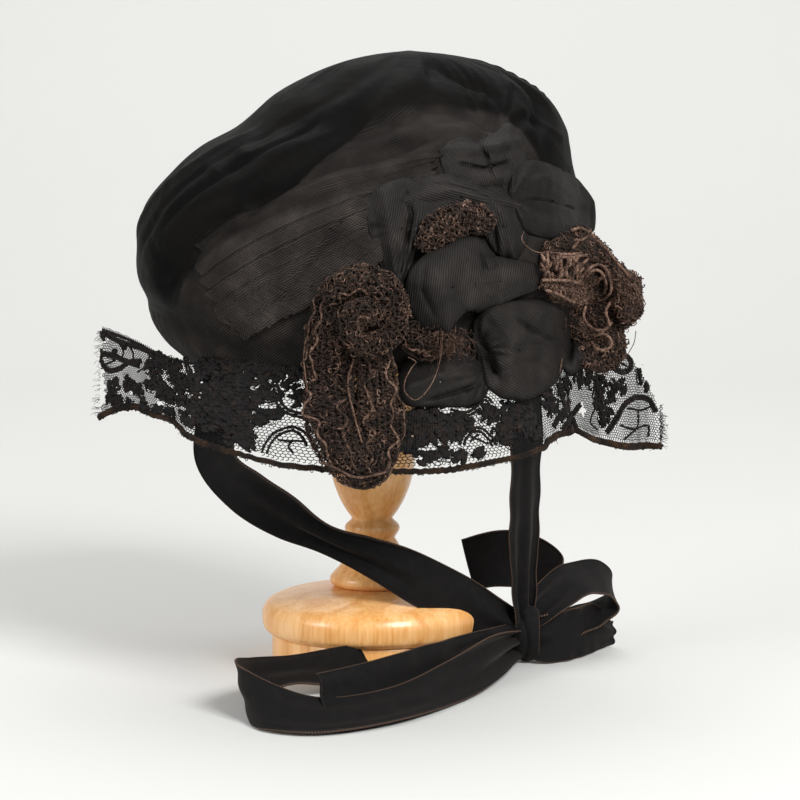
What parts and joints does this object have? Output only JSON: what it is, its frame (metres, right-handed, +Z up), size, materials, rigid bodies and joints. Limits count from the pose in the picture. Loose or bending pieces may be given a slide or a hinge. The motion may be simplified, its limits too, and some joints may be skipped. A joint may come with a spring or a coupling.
{
  "type": "silk bonnet on a wooden stand",
  "caption": "Soft puffed silk bonnet with a lace frill, a trim of silk and crochet, and velvet ribbon ties knotted in a bow, on a plain turned wooden hat stand.",
  "frame": {"origin": "centre of the stand's flat underside", "axes": "+Z up along the stand, -Y towards the bonnet's front with the lace frill, +X to the right as the front is seen"},
  "size_m": [0.2861, 0.3075, 0.321],
  "materials": {
    "silk": "soft black silk satin, creased, faint brown sheen",
    "ribbed_silk": "black ribbed silk faded slightly brown",
    "lace": "black machine lace, corded net",
    "binding": "brown-black corded binding",
    "crochet": "brown-black gathered crochet lace",
    "velvet": "black velvet with light brown selvedges",
    "wood": "turned honey-coloured wood, clear varnish"
  },
  "bodies": {
    "root": {"stand_foot": "wood", "stand_column": "wood", "stand_head": "wood", "crown": "silk", "drape_panel": "ribbed_silk", "lace_frill": "lace", "frill_binding": "binding", "silk_puff_top": "silk", "silk_puff_upper": "silk", "crochet_peek": "crochet", "silk_fold_left": "silk", "silk_puff_lower": "silk", "silk_loop_centre": "ribbed_silk", "crochet_coil": "crochet", "crochet_loop_long": "crochet", "crochet_rosette": "crochet", "bow_knot": "velvet", "tie_left": "velvet", "tie_right": "velvet", "bow_loop_left": "velvet", "bow_tail_left": "velvet", "bow_loop_right": "velvet", "bow_tail_right": "velvet", "bow_tail_frayed": "velvet"}
  },
  "joints": []
}
